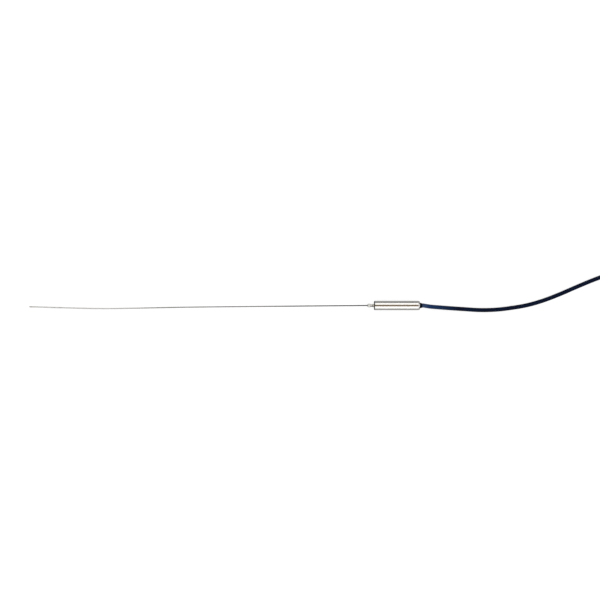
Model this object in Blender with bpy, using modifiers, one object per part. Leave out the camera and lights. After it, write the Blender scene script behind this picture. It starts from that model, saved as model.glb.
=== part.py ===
"""A sheathed thermocouple probe lying on a table: a thin bowed stem, the steel pot that joins it to
its lead, and the blue cable with its two bare tails.

Metres, +Z up. The origin is on the table, under the middle of the stem and pot. The stem runs
towards -X and the cable leaves towards +X. Inside this file every place along the probe is measured
from the pot's front face, positive towards the cable.
"""

import math

import bmesh
import bpy
from mathutils import Vector

MM = 0.001

# Stem: metal sheath, mineral core, two sensing wires
STEM_LENGTH = 300.0 * MM  # pot's front face to the tip
SHEATH_DIAMETER = 1.0 * MM
SHEATH_WALL = 0.15 * MM
TIP_PLUG = 0.9 * MM  # solid weld metal that closes the tip
SHEATH_IN_POT = 9.0 * MM  # how far the sheath reaches behind the front face
WIRE_DIAMETER = 0.18 * MM
WIRE_SPACING = 0.34 * MM  # between the centres of the two sensing wires
JUNCTION_SETBACK = 1.6 * MM  # mineral left between the hot junction and the tip plug
JUNCTION_LENGTH = 0.5 * MM
JUNCTION_WIDTH = 0.54 * MM
JUNCTION_HEIGHT = 0.30 * MM
CORE_FIT = 0.01 * MM  # gap between sheath, core, wires and junction

# The stem's sideways bow: share of its free length, and the offset there
STEM_BOW = (
    (0.00, 0.0),
    (0.06, -0.15 * MM),
    (0.22, -0.55 * MM),
    (0.40, -1.05 * MM),
    (0.54, -1.50 * MM),
    (0.68, -2.30 * MM),
    (0.78, -2.72 * MM),
    (0.90, -2.00 * MM),
    (1.00, -1.10 * MM),
)

# Pot: a steel sleeve with a flat front wall and a rolled rear lip
POT_LENGTH = 40.0 * MM
POT_DIAMETER = 8.0 * MM
POT_WALL = 0.5 * MM
POT_FRONT_WALL = 1.5 * MM
POT_FRONT_ROUND = 0.8 * MM
POT_LIP_BORE = 4.9 * MM  # what the rolled lip leaves open
PIECE_FIT = 0.05 * MM  # gap between pieces that seat in the pot
CUT_PAST = 0.2 * MM  # how far a cut runs on past the face that it opens

# Neck: the crimped ferrule that steps the pot down to the stem
NECK_OUT = 5.8 * MM  # in front of the pot
NECK_DIAMETER = 2.7 * MM
NECK_NOSE_DIAMETER = 3.1 * MM
NECK_NOSE_LENGTH = 2.6 * MM
NECK_NOSE_ROUND = 0.9 * MM
NECK_CRIMP_DEPTH = 0.22 * MM
NECK_CRIMP_LENGTH = 2.2 * MM
NECK_FLANGE_DIAMETER = 4.8 * MM
NECK_FLANGE_LENGTH = 1.2 * MM

# Cold end: the bead that seals the sheath, and the two splices
SEAL_DIAMETER = 2.1 * MM
SEAL_OVERLAP = 1.6 * MM  # on the sheath
SEAL_CAP = 1.3 * MM  # beyond the sheath's end
SPLICE_LENGTH = 5.0 * MM
SPLICE_DIAMETER = 1.1 * MM
SPLICE_NOSE_DIAMETER = 0.7 * MM  # the half that is squeezed on the sensing wire
SPLICE_WALL = 0.20 * MM
SLEEVE_WALL = 0.25 * MM
SLEEVE_OVERLAP = 0.9 * MM  # past each end of the splice
SLEEVE_SPACE = 0.9 * MM  # resin between the two sleeves

# Cable: blue jacket, two insulated stranded cores
CABLE_DIAMETER = 3.6 * MM
CORE_DIAMETER = 1.2 * MM
STRAND_DIAMETER = 0.6 * MM  # of the twisted strands of one core
CORE_SPACE = 0.12 * MM  # between the two cores in the jacket
JACKET_BEHIND_BUSH = 7.0 * MM  # jacket held in the resin
STRIP_INTO_SPLICE = 2.2 * MM  # bare strands held by the splice

# Bush: the black rubber collar that the lip holds round the cable
BUSH_IN_POT = 6.0 * MM
BUSH_OUT = 1.9 * MM
BUSH_END_DIAMETER = 4.0 * MM

# Cable route past the bush: (x from the pot's front face, y, height above the table)
EXIT_STRAIGHT = 1.0 * MM  # the cable leaves the bush straight for this far
LEAD_ROUTE = (
    (48.0 * MM, -0.85 * MM, 3.85 * MM),
    (57.0 * MM, -1.65 * MM, 3.10 * MM),
    (67.0 * MM, -2.4 * MM, 2.25 * MM),
    (79.0 * MM, -3.2 * MM, 1.85 * MM),
    (92.0 * MM, -3.97 * MM, 1.81 * MM),
    (106.0 * MM, -3.65 * MM, 1.81 * MM),
    (120.0 * MM, -2.05 * MM, 1.81 * MM),
    (134.0 * MM, 0.45 * MM, 1.81 * MM),
    (148.0 * MM, 4.55 * MM, 1.81 * MM),
    (162.0 * MM, 9.95 * MM, 1.81 * MM),
    (176.0 * MM, 16.0 * MM, 1.81 * MM),
    (190.0 * MM, 21.85 * MM, 1.81 * MM),
    (206.0 * MM, 27.8 * MM, 1.81 * MM),
    (223.4 * MM, 34.2 * MM, 1.81 * MM),
)
COIL_CENTRE = (232.0 * MM, 10.5 * MM)
COIL_RADIUS = 19.8 * MM  # at the middle of its turns
COIL_TURNS_ACROSS = 3
COIL_LAYERS = 2
TAIL_ROUTE = (
    (232.0 * MM, 35.7 * MM, 5.40 * MM),
    (241.0 * MM, 36.0 * MM, 5.15 * MM),
    (251.0 * MM, 35.2 * MM, 3.95 * MM),
    (261.0 * MM, 32.4 * MM, 2.45 * MM),
    (269.5 * MM, 27.6 * MM, 1.85 * MM),
    (275.5 * MM, 21.5 * MM, 1.81 * MM),
)
TAIL_CORE_LENGTH = 32.0 * MM
TAIL_STRIP = 7.0 * MM  # bare strands at the end of each core
TAIL_SPREAD = 5.0 * MM  # each core's sideways offset at the end of its insulation
CORD_GAP = 0.3 * MM  # between the cord's plain solids, where they meet

# Facets
TURNED_SIDES = 48
MEDIUM_TURNED_SIDES = 32
SMALL_TURNED_SIDES = 24
TINY_TURNED_SIDES = 16
ARC_STEPS = 6
CRIMP_STEPS = 8  # along the ferrule's waist
STEM_STEP = 12.0 * MM  # between the rings of the swept stem
CABLE_STEP = 9.0 * MM
CURVE_PARTS = 3  # the cable's curve is worked out in steps this much finer
DOME_ANGLES = (76, 60, 42, 22)  # rings of the sheath's round tip, from its flat end
SAME_PLACE = 0.01 * MM  # two places on the stem nearer than this count as one
WELD = 0.0001 * MM
SHEATH_SIDES = 16
BORE_SIDES = 12
THIN_SIDES = 8

# Worked out from the sizes above
SHEATH_RADIUS = SHEATH_DIAMETER / 2
SHEATH_BORE = SHEATH_RADIUS - SHEATH_WALL
POT_RADIUS = POT_DIAMETER / 2
POT_BORE = POT_RADIUS - POT_WALL
LIP_BORE = POT_LIP_BORE / 2
CABLE_RADIUS = CABLE_DIAMETER / 2
WIRE_RADIUS = WIRE_DIAMETER / 2
CORE_RADIUS = CORE_DIAMETER / 2
STRAND_RADIUS = STRAND_DIAMETER / 2
CORE_OFFSET = CORE_RADIUS + CORE_SPACE / 2
SLEEVE_BORE = max(CORE_RADIUS, SPLICE_DIAMETER / 2) + PIECE_FIT
SLEEVE_RADIUS = SLEEVE_BORE + SLEEVE_WALL
SPLICE_OFFSET = SLEEVE_RADIUS + SLEEVE_SPACE / 2
TIP = -STEM_LENGTH
BUSH_END = POT_LENGTH + BUSH_OUT
BUSH_FRONT = POT_LENGTH - BUSH_IN_POT
JACKET_END = BUSH_FRONT - JACKET_BEHIND_BUSH
FLANGE_FRONT = POT_FRONT_WALL + PIECE_FIT
FLANGE_BACK = FLANGE_FRONT + NECK_FLANGE_LENGTH
SEAL_END = SHEATH_IN_POT + SEAL_CAP
WIRE_RUN = (JACKET_END - SEAL_END - SPLICE_LENGTH) / 2
SPLICE_START = SEAL_END + WIRE_RUN
SPLICE_END = SPLICE_START + SPLICE_LENGTH
SLEEVE_FRONT = SPLICE_START - SLEEVE_OVERLAP
SLEEVE_BACK = SPLICE_END + SLEEVE_OVERLAP
JUNCTION_X = TIP + TIP_PLUG + JUNCTION_SETBACK
COIL_REACH = COIL_TURNS_ACROSS * CABLE_DIAMETER / 2 + CABLE_RADIUS  # a spiral's turns, and the cable's side
ORIGIN_TO_FRONT = (STEM_LENGTH - BUSH_END) / 2  # from the origin to the pot's front face


def clear_scene():
    for old in list(bpy.data.objects):
        bpy.data.objects.remove(old, do_unlink=True)


def new_collection(name):
    made = bpy.data.collections.new(name)
    bpy.context.scene.collection.children.link(made)
    return made


clear_scene()
PROBE = new_collection("thermocouple_probe")
CUTTERS = new_collection("cutters")


def empty_at(name, x, y, z):
    made = bpy.data.objects.new(name, None)
    made.location = (x, y, z)
    PROBE.objects.link(made)
    return made


# Pieces on the probe's centreline hang on the axis, and the free cable on the table below it
AXIS = empty_at("probe_axis", ORIGIN_TO_FRONT, 0.0, POT_RADIUS)
TABLE = empty_at("table_under_pot", ORIGIN_TO_FRONT, 0.0, 0.0)


def material(name, colour, roughness, metallic=0.0):
    made = bpy.data.materials.new(name)
    made.use_nodes = True
    shader = made.node_tree.nodes["Principled BSDF"]
    shader.inputs["Base Color"].default_value = (*colour, 1.0)
    shader.inputs["Roughness"].default_value = roughness
    shader.inputs["Metallic"].default_value = metallic
    return made


STEEL = material("bright_steel", (0.72, 0.71, 0.69), 0.22, 1.0)
SHEATH_STEEL = material("drawn_sheath_steel", (0.55, 0.54, 0.52), 0.35, 1.0)
NICKEL = material("nickel_crimp", (0.66, 0.64, 0.58), 0.3, 1.0)
POSITIVE_ALLOY = material("positive_alloy", (0.52, 0.50, 0.47), 0.35, 1.0)
NEGATIVE_ALLOY = material("negative_alloy", (0.60, 0.57, 0.52), 0.35, 1.0)
MINERAL = material("packed_mineral", (0.86, 0.85, 0.82), 0.9)
RESIN = material("potting_resin", (0.10, 0.09, 0.08), 0.45)
SEAL_RESIN = material("seal_resin", (0.55, 0.36, 0.12), 0.35)
CLEAR_SLEEVE = material("clear_sleeve", (0.82, 0.80, 0.74), 0.3)
RUBBER = material("black_rubber", (0.010, 0.010, 0.011), 0.5)
BLUE_JACKET = material("blue_jacket", (0.011, 0.028, 0.085), 0.32)
RED_CORE = material("red_core", (0.50, 0.015, 0.012), 0.35)
WHITE_CORE = material("white_core", (0.80, 0.79, 0.76), 0.35)


def placed(name, data, finish, parent, collection=PROBE):
    made = bpy.data.objects.new(name, data)
    data.materials.append(finish)
    made.parent = parent
    collection.objects.link(made)
    return made


def as_cutter(made):
    made.hide_render = True
    made.display_type = "WIRE"
    return made


def arc(centre, radius, start, end, steps=ARC_STEPS):
    """Points (x, r) of an arc round centre. An angle is measured from the direction of +r towards +x."""
    turns = [start + (end - start) * i / steps for i in range(steps + 1)]
    return [
        (
            centre[0] + radius * math.sin(math.radians(turn)),
            centre[1] + radius * math.cos(math.radians(turn)),
        )
        for turn in turns
    ]


def turned(name, outline, finish, closed=True, sides=TURNED_SIDES, collection=PROBE):
    """A piece turned round the probe's axis. The outline is (x, radius) points, down the outer side from the
    cable's end to the stem's end and back along the bore. An open outline starts and ends on the axis."""
    mesh = bpy.data.meshes.new(name)
    edges = [(i, i + 1) for i in range(len(outline) - 1)]
    if closed:
        edges.append((len(outline) - 1, 0))
    mesh.from_pydata([(radius, 0.0, x) for x, radius in outline], edges, [])
    made = placed(name, mesh, finish, AXIS, collection)
    made.rotation_euler = (0.0, math.pi / 2, 0.0)
    screw = made.modifiers.new("turn", "SCREW")
    screw.axis = "Z"
    screw.angle = 2 * math.pi
    screw.steps = sides
    screw.render_steps = sides
    screw.use_merge_vertices = True
    screw.merge_threshold = WELD
    screw.use_smooth_shade = True
    return made


def swept(name, path, radius, finish, sides, parent=AXIS, collection=PROBE, shares=None):
    """A round bar along a path. Shares, where given, scale its radius at each point."""
    curve = bpy.data.curves.new(name, "CURVE")
    curve.dimensions = "3D"
    curve.twist_mode = "Z_UP"
    curve.bevel_depth = radius
    curve.bevel_resolution = (sides - 4) // 2  # a round bevel has 4 sides, and 2 more for each step
    curve.use_fill_caps = True
    spline = curve.splines.new("POLY")
    spline.points.add(len(path) - 1)
    for point, place in zip(spline.points, path, strict=True):
        point.co = (*place, 1.0)
    if shares:
        for point, share in zip(spline.points, shares, strict=True):
            point.radius = share
    return placed(name, curve, finish, parent, collection)


def as_mesh(bar):
    """The bar as a welded mesh object of the same name, so that it can be cut or be a cutter."""
    bpy.context.view_layer.update()
    graph = bpy.context.evaluated_depsgraph_get()
    mesh = bpy.data.meshes.new_from_object(bar.evaluated_get(graph))
    shape = bmesh.new()
    shape.from_mesh(mesh)
    bmesh.ops.remove_doubles(shape, verts=shape.verts, dist=WELD)
    bmesh.ops.recalc_face_normals(shape, faces=shape.faces)
    shape.to_mesh(mesh)
    shape.free()
    name, finish, parent = bar.name, bar.data.materials[0], bar.parent
    collection, place = bar.users_collection[0], bar.matrix_world.copy()
    bpy.data.objects.remove(bar, do_unlink=True)
    mesh.materials.clear()
    made = placed(name, mesh, finish, parent, collection)
    made.matrix_world = place
    return made


def swept_cutter(name, path, radius, sides, parent=AXIS):
    bar = swept(name, path, radius, RESIN, sides, parent, CUTTERS)
    return as_cutter(as_mesh(bar))


def turned_cutter(name, outline):
    return as_cutter(turned(name, outline, RESIN, False, MEDIUM_TURNED_SIDES, CUTTERS))


def cut(piece, cutter):
    boolean = piece.modifiers.new(cutter.name, "BOOLEAN")
    boolean.operation = "DIFFERENCE"
    boolean.solver = "EXACT"
    boolean.object = cutter


def hollow_bar(name, path, radius, bore, finish, sides, parent=AXIS):
    """A tube along a path, open at both ends."""
    tube = as_mesh(swept(name, path, radius, finish, sides, parent))
    first, last = (path[0] - path[1]).normalized(), (path[-1] - path[-2]).normalized()
    through = [path[0] + first * radius, *path, path[-1] + last * radius]
    cut(tube, swept_cutter(name + "_bore", through, bore, sides, parent))


def smooth_through(points, step):
    """Points about a step apart on a smooth curve through the given ones."""
    places = [Vector(point) for point in points]
    ends = [2 * places[0] - places[1], *places, 2 * places[-1] - places[-2]]
    found = [places[0]]
    for before, here, there, after in zip(ends, ends[1:], ends[2:], ends[3:], strict=False):
        span = (there - here).length
        leave = (there - before) * span / ((there - here).length + (here - before).length)
        arrive = (after - here) * span / ((after - there).length + (there - here).length)
        count = max(1, round(span / step))
        for i in range(1, count + 1):
            t = i / count
            found.append(
                here * (2 * t**3 - 3 * t**2 + 1)
                + leave * (t**3 - 2 * t**2 + t)
                + there * (3 * t**2 - 2 * t**3)
                + arrive * (t**3 - t**2)
            )
    return found


def eased(share):
    """0 to 1 with a level start and end."""
    return share * share * (3 - 2 * share)


def side_step(x_from, x_to, y_from, y_to, steps=6):
    """A path on the axis plane that moves sideways between two straight runs."""
    return [
        Vector((x_from + (x_to - x_from) * i / steps, y_from + (y_to - y_from) * eased(i / steps), 0.0))
        for i in range(steps + 1)
    ]


def stem_line():
    """The stem's centreline from the tip to the sheath's end in the pot. It is bowed sideways, and it droops
    like a beam held in the neck until its tip touches the table."""
    free = STEM_LENGTH - NECK_OUT
    drop = POT_RADIUS - SHEATH_RADIUS
    held = [(SHEATH_IN_POT, 0.0, 0.0), (0.0, 0.0, 0.0), (-NECK_OUT, 0.0, 0.0)]
    bowed = [
        (-NECK_OUT - share * free, bow, -drop * (3 * share**2 - share**3) / 2)
        for share, bow in STEM_BOW[1:]
    ]
    return smooth_through(held + bowed, STEM_STEP)[::-1]


STEM_LINE = stem_line()


def stem_between(x_from, x_to, y_offset=0.0):
    """The part of the stem's line between two places, moved sideways by the offset."""
    inside = [place for place in STEM_LINE if x_from + SAME_PLACE < place.x < x_to - SAME_PLACE]
    ends = []
    for x in (x_from, x_to):
        pairs = zip(STEM_LINE, STEM_LINE[1:], strict=False)
        before, after = next(pair for pair in pairs if x <= pair[1].x + SAME_PLACE)
        ends.append(before.lerp(after, (x - before.x) / (after.x - before.x)))
    side = Vector((0.0, y_offset, 0.0))
    return [place + side for place in [ends[0], *inside, ends[1]]]


def make_sheath():
    """The drawn tube with its rounded, welded tip."""
    dome_start = TIP + SHEATH_RADIUS
    path = stem_between(dome_start, SHEATH_IN_POT)
    ahead = (path[0] - path[1]).normalized() * SHEATH_RADIUS
    dome = [math.radians(angle) for angle in DOME_ANGLES]
    shares = [math.cos(angle) for angle in dome] + [1.0] * len(path)
    path = [path[0] + ahead * math.sin(angle) for angle in dome] + path
    sheath = as_mesh(swept("sheath", path, SHEATH_RADIUS, SHEATH_STEEL, SHEATH_SIDES, shares=shares))
    bore = stem_between(TIP + TIP_PLUG, SHEATH_IN_POT)
    bore.append(bore[-1] + Vector((SHEATH_DIAMETER, 0.0, 0.0)))
    cut(sheath, swept_cutter("sheath_bore", bore, SHEATH_BORE, BORE_SIDES))


def junction_shape(name, grow, finish, collection=PROBE):
    """The weld bead that joins the two wires, an egg across both of them."""
    mesh = bpy.data.meshes.new(name)
    shape = bmesh.new()
    bmesh.ops.create_uvsphere(shape, u_segments=12, v_segments=8, radius=1.0)
    size = Vector((JUNCTION_LENGTH, JUNCTION_WIDTH, JUNCTION_HEIGHT)) / 2
    bmesh.ops.scale(shape, vec=size + Vector((grow, grow, grow)), verts=shape.verts)
    shape.to_mesh(mesh)
    shape.free()
    made = placed(name, mesh, finish, AXIS, collection)
    made.location = stem_between(JUNCTION_X, 0.0)[0]
    return made


def wire_crossing(side):
    """A sensing wire's way from the seal to its sleeve."""
    return side_step(SEAL_END, SLEEVE_FRONT, side * WIRE_SPACING / 2, side * SPLICE_OFFSET)


def wire_path(side):
    """A sensing wire from the hot junction, out of the sheath's end and across to its splice."""
    y = side * WIRE_SPACING / 2
    start = JUNCTION_X + JUNCTION_LENGTH / 2 + CORE_FIT
    in_sheath = stem_between(start, SHEATH_IN_POT, y)
    into_splice = Vector((SPLICE_START + STRIP_INTO_SPLICE, side * SPLICE_OFFSET, 0.0))
    return [*in_sheath, *wire_crossing(side), into_splice]


def make_wires():
    swept("positive_wire", wire_path(1), WIRE_RADIUS, POSITIVE_ALLOY, THIN_SIDES)
    swept("negative_wire", wire_path(-1), WIRE_RADIUS, NEGATIVE_ALLOY, THIN_SIDES)
    junction_shape("hot_junction", 0.0, NEGATIVE_ALLOY)


def make_mineral_core():
    """The packed mineral that fills the sheath, with a bore for each wire and a pocket for the junction."""
    path = stem_between(TIP + TIP_PLUG + CORE_FIT, SHEATH_IN_POT)
    core = as_mesh(swept("mineral_core", path, SHEATH_BORE - CORE_FIT, MINERAL, BORE_SIDES))
    for name, side in (("positive_bore", 1), ("negative_bore", -1)):
        bore = stem_between(JUNCTION_X, SHEATH_IN_POT, side * WIRE_SPACING / 2)
        bore.append(bore[-1] + Vector((SHEATH_DIAMETER, 0.0, 0.0)))
        cut(core, swept_cutter(name, bore, WIRE_RADIUS + CORE_FIT, THIN_SIDES))
    cut(core, as_cutter(junction_shape("junction_pocket", CORE_FIT, MINERAL, CUTTERS)))


def make_pot():
    """The steel sleeve: flat front wall with a hole for the neck, straight body, and a lip rolled in over
    the bush."""
    lip_start = POT_LENGTH - (POT_RADIUS - LIP_BORE)
    outer_lip = arc((lip_start, LIP_BORE), POT_RADIUS - LIP_BORE, 90, 0)
    front = arc((POT_FRONT_ROUND, POT_RADIUS - POT_FRONT_ROUND), POT_FRONT_ROUND, 0, -90, 4)
    neck_hole = NECK_DIAMETER / 2 + PIECE_FIT
    wall = [(0.0, neck_hole), (POT_FRONT_WALL, neck_hole), (POT_FRONT_WALL, POT_BORE)]
    inner_lip = arc((lip_start, LIP_BORE), POT_RADIUS - LIP_BORE - POT_WALL, 0, 90)
    turned("pot_sleeve", outer_lip + front + wall + inner_lip, STEEL)


def make_neck():
    """The ferrule: a flange behind the pot's front wall, a body with a crimped waist, and a round nose."""
    bore = SHEATH_RADIUS + PIECE_FIT
    body = NECK_DIAMETER / 2
    nose = NECK_NOSE_DIAMETER / 2
    nose_back = -NECK_OUT + NECK_NOSE_LENGTH
    waist = [
        (
            nose_back + NECK_CRIMP_LENGTH * (1 - i / CRIMP_STEPS),
            body - NECK_CRIMP_DEPTH * math.sin(math.pi * i / CRIMP_STEPS) ** 2,
        )
        for i in range(CRIMP_STEPS + 1)
    ]
    front = arc((-NECK_OUT + NECK_NOSE_ROUND, nose - NECK_NOSE_ROUND), NECK_NOSE_ROUND, 0, -90, 4)
    outline = [(FLANGE_BACK, NECK_FLANGE_DIAMETER / 2), (FLANGE_FRONT, NECK_FLANGE_DIAMETER / 2)]
    outline += [(FLANGE_FRONT, body), *waist, (nose_back - (nose - body), nose), *front]
    outline += [(-NECK_OUT, bore), (FLANGE_BACK, bore)]
    turned("neck_ferrule", outline, STEEL, sides=SMALL_TURNED_SIDES)


def seal_outline(grow):
    """The bead round the sheath's cold end, down its outside from its cap to the sheath."""
    radius = SEAL_DIAMETER / 2 + grow
    length = SEAL_CAP + grow
    cap = [
        (SHEATH_IN_POT + length * math.cos(math.radians(a)), radius * math.sin(math.radians(a)))
        for a in range(0, 91, 15)
    ]
    toe = SHEATH_IN_POT - SEAL_OVERLAP
    return [*cap, (toe + SEAL_OVERLAP / 3, radius), (toe - grow, SHEATH_RADIUS + 3 * PIECE_FIT + grow)]


def make_seal():
    """The resin bead that keeps damp out of the mineral. The wires come out through it."""
    outline = seal_outline(0.0)
    toe = outline[-1][0]
    pocket = SHEATH_RADIUS + PIECE_FIT
    bottom = SHEATH_IN_POT + PIECE_FIT
    outline += [(toe, pocket), (bottom, pocket), (bottom, 0.0)]
    seal = turned("cold_end_seal", outline, SEAL_RESIN, closed=False, sides=TINY_TURNED_SIDES)
    for name, side in (("positive_exit", 1), ("negative_exit", -1)):
        y = side * WIRE_SPACING / 2
        path = [Vector((SHEATH_IN_POT, y, 0.0)), Vector((SEAL_END + PIECE_FIT * 2, y, 0.0))]
        cut(seal, swept_cutter(name, path, WIRE_RADIUS + CORE_FIT, THIN_SIDES))


def make_splice(name, side):
    """A crimp barrel, wide on the stranded core and squeezed on the thin wire."""
    wide, narrow = SPLICE_DIAMETER / 2, SPLICE_NOSE_DIAMETER / 2
    middle = SPLICE_START + STRIP_INTO_SPLICE
    step = wide - narrow
    strand_bore = STRAND_RADIUS + PIECE_FIT
    wire_bore = narrow - SPLICE_WALL
    outline = [(SPLICE_END, wide), (middle + step, wide), (middle, narrow), (SPLICE_START, narrow)]
    outline += [(SPLICE_START, wire_bore), (middle, wire_bore), (middle + step, strand_bore)]
    outline += [(SPLICE_END, strand_bore)]
    splice = turned(name, outline, NICKEL, sides=TINY_TURNED_SIDES)
    splice.location.y = side * SPLICE_OFFSET


def make_sleeve(name, side):
    """The insulating sleeve pushed over a splice."""
    outline = [(SLEEVE_BACK, SLEEVE_RADIUS), (SLEEVE_FRONT, SLEEVE_RADIUS)]
    outline += [(SLEEVE_FRONT, SLEEVE_BORE), (SLEEVE_BACK, SLEEVE_BORE)]
    sleeve = turned(name, outline, CLEAR_SLEEVE, sides=SMALL_TURNED_SIDES)
    sleeve.location.y = side * SPLICE_OFFSET


def core_path(side):
    """A core's insulation, from its splice across to the cut end of the jacket."""
    start = Vector((SPLICE_END + PIECE_FIT, side * SPLICE_OFFSET, 0.0))
    end = JACKET_END - PIECE_FIT
    return [start, *side_step(SLEEVE_BACK, end, side * SPLICE_OFFSET, side * CORE_OFFSET)]


def make_core_end(name, side, finish):
    """An insulated core in the pot, and the bare strands that run from the jacket into the splice."""
    path = core_path(side)
    hollow_bar("core_" + name, path, CORE_RADIUS, STRAND_RADIUS + PIECE_FIT / 2, finish, BORE_SIDES)
    into_splice = Vector((SPLICE_END - STRIP_INTO_SPLICE, side * SPLICE_OFFSET, 0.0))
    alloy = POSITIVE_ALLOY if side > 0 else NEGATIVE_ALLOY
    swept("strands_" + name, [into_splice, *path], STRAND_RADIUS, alloy, BORE_SIDES)


def make_potting():
    """The resin that fills the pot round everything in it."""
    radius = POT_BORE - PIECE_FIT
    front, back = POT_FRONT_WALL + PIECE_FIT, BUSH_FRONT - PIECE_FIT
    outline = [(back, 0.0), (back, radius), (front, radius), (front, 0.0)]
    potting = turned("potting", outline, RESIN, closed=False, sides=MEDIUM_TURNED_SIDES)
    stem, flange = SHEATH_RADIUS + PIECE_FIT, NECK_FLANGE_DIAMETER / 2 + PIECE_FIT
    behind_flange, past_front = FLANGE_BACK + PIECE_FIT, front - CUT_PAST
    bead = seal_outline(PIECE_FIT)
    bead += [(bead[-1][0], stem), (behind_flange, stem)]
    neck = [(behind_flange, flange), (past_front, flange), (past_front, 0.0)]
    cut(potting, turned_cutter("stem_space", bead + neck))
    jacket = CABLE_RADIUS + PIECE_FIT
    past_back, jacket_front = back + CUT_PAST, JACKET_END - 2 * PIECE_FIT
    outline = [(past_back, 0.0), (past_back, jacket), (jacket_front, jacket), (jacket_front, 0.0)]
    cut(potting, turned_cutter("jacket_space", outline))
    for name, side in (("positive", 1), ("negative", -1)):
        into_seal = Vector((SEAL_END - SEAL_CAP / 2, side * WIRE_SPACING / 2, 0.0))
        into_sleeve = Vector((SLEEVE_FRONT + CUT_PAST, side * SPLICE_OFFSET, 0.0))
        wire = [into_seal, *wire_crossing(side), into_sleeve]
        cut(potting, swept_cutter("wire_space_" + name, wire, WIRE_RADIUS + PIECE_FIT, THIN_SIDES))
        sleeve = [
            Vector((x, side * SPLICE_OFFSET, 0.0))
            for x in (SLEEVE_FRONT - PIECE_FIT, SLEEVE_BACK + PIECE_FIT)
        ]
        round_sleeve = SLEEVE_RADIUS + 2 * PIECE_FIT
        cut(potting, swept_cutter("sleeve_space_" + name, sleeve, round_sleeve, SHEATH_SIDES))
        core = core_path(side)
        core.append(core[-1] + Vector((CUT_PAST, 0.0, 0.0)))
        cut(potting, swept_cutter("core_space_" + name, core, CORE_RADIUS + PIECE_FIT, BORE_SIDES))


def make_bush():
    """The rubber bush: its shoulder fills the rolled lip and its tapered collar stands out on the cable."""
    lip_start = POT_LENGTH - (POT_RADIUS - LIP_BORE)
    bore = CABLE_RADIUS + PIECE_FIT
    collar = LIP_BORE - PIECE_FIT
    shoulder = arc((lip_start, LIP_BORE), POT_BORE - LIP_BORE - PIECE_FIT, 90, 0)
    outline = [(BUSH_END, BUSH_END_DIAMETER / 2), (POT_LENGTH, collar)]
    outline += [(shoulder[0][0], collar), *shoulder, (BUSH_FRONT, POT_BORE - PIECE_FIT)]
    outline += [(BUSH_FRONT, bore), (BUSH_END, bore)]
    turned("cable_bush", outline, RUBBER, sides=MEDIUM_TURNED_SIDES)


def cable_stations(route):
    """Places along the smooth curve through a route, up to where the cable's side meets the coil's solid."""
    clear = COIL_RADIUS + COIL_REACH + CABLE_RADIUS + CORD_GAP
    curve = smooth_through(route, CABLE_STEP / CURVE_PARTS)
    beyond = [(place.xy - Vector(COIL_CENTRE)).length - clear for place in curve]
    outside = [place for place, over in zip(curve, beyond, strict=True) if over > 0]
    pairs = zip(curve, curve[1:], beyond, beyond[1:], strict=False)
    edge = next(
        here.lerp(there, over / (over - past)) for here, there, over, past in pairs if over * past < 0
    )
    if beyond[0] > 0:
        return [*outside[:-1:CURVE_PARTS], edge]
    return [edge, *outside[:0:-1][::CURVE_PARTS][::-1]]


def make_cable():
    """The jacket from the pot to the coil, the coil as one ring, and the jacket's last stretch."""
    in_pot = Vector((JACKET_END, 0.0, POT_RADIUS))
    straight = [(x, 0.0, POT_RADIUS) for x in (BUSH_FRONT, BUSH_END, BUSH_END + EXIT_STRAIGHT)]
    lead = [in_pot, *cable_stations([*straight, *LEAD_ROUTE])]
    swept("cable_lead", lead, CABLE_RADIUS, BLUE_JACKET, THIN_SIDES, TABLE)
    height = COIL_LAYERS * CABLE_DIAMETER
    inner, outer = COIL_RADIUS - COIL_REACH, COIL_RADIUS + COIL_REACH
    corner = CABLE_RADIUS
    outline = arc((height - corner, outer - corner), corner, 90, 0, 3)
    outline += arc((corner, outer - corner), corner, 0, -90, 3)
    outline += arc((corner, inner + corner), corner, 270, 180, 3)
    outline += arc((height - corner, inner + corner), corner, 180, 90, 3)
    coil = turned("cable_coil", outline, BLUE_JACKET, sides=MEDIUM_TURNED_SIDES)
    coil.parent = TABLE
    coil.rotation_euler = (0.0, 0.0, 0.0)
    coil.location = (*COIL_CENTRE, 0.0)
    swept("cable_tail", cable_stations(TAIL_ROUTE), CABLE_RADIUS, BLUE_JACKET, THIN_SIDES, TABLE)


def tail_core_path(side):
    """A core from the jacket's cut end, spreading sideways and sinking to the table."""
    before, end = cable_stations(TAIL_ROUTE)[-2:]
    ahead = (end - before).normalized()
    ahead.z = 0.0
    across = Vector((-ahead.y, ahead.x, 0.0))
    steps = 8
    path = []
    for i in range(steps + 1):
        share = i / steps
        offset = CORE_OFFSET + (TAIL_SPREAD - CORE_OFFSET) * eased(share)
        place = end + ahead * (CORD_GAP + TAIL_CORE_LENGTH * share) + across * side * offset
        place.z = CABLE_RADIUS + (CORE_RADIUS - CABLE_RADIUS) * eased(min(1.0, share * 2))
        path.append(place)
    return path


def make_tails():
    """The two insulated cores at the far end, each with its bare strands."""
    for name, side, finish in (("positive", 1, RED_CORE), ("negative", -1, WHITE_CORE)):
        path = tail_core_path(side)
        bore = STRAND_RADIUS + PIECE_FIT
        hollow_bar("tail_core_" + name, path, CORE_RADIUS, bore, finish, THIN_SIDES, TABLE)
        ahead = (path[-1] - path[-2]).normalized()
        alloy = POSITIVE_ALLOY if side > 0 else NEGATIVE_ALLOY
        strands = [*path, path[-1] + ahead * TAIL_STRIP]
        swept("tail_strands_" + name, strands, STRAND_RADIUS, alloy, THIN_SIDES, TABLE)


def make_probe():
    make_sheath()
    make_mineral_core()
    make_wires()
    make_pot()
    make_neck()
    make_seal()
    for name, side, finish in (("positive", 1, RED_CORE), ("negative", -1, WHITE_CORE)):
        make_splice("splice_" + name, side)
        make_sleeve("splice_sleeve_" + name, side)
        make_core_end(name, side, finish)
    make_potting()
    make_bush()
    make_cable()
    make_tails()


make_probe()
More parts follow.
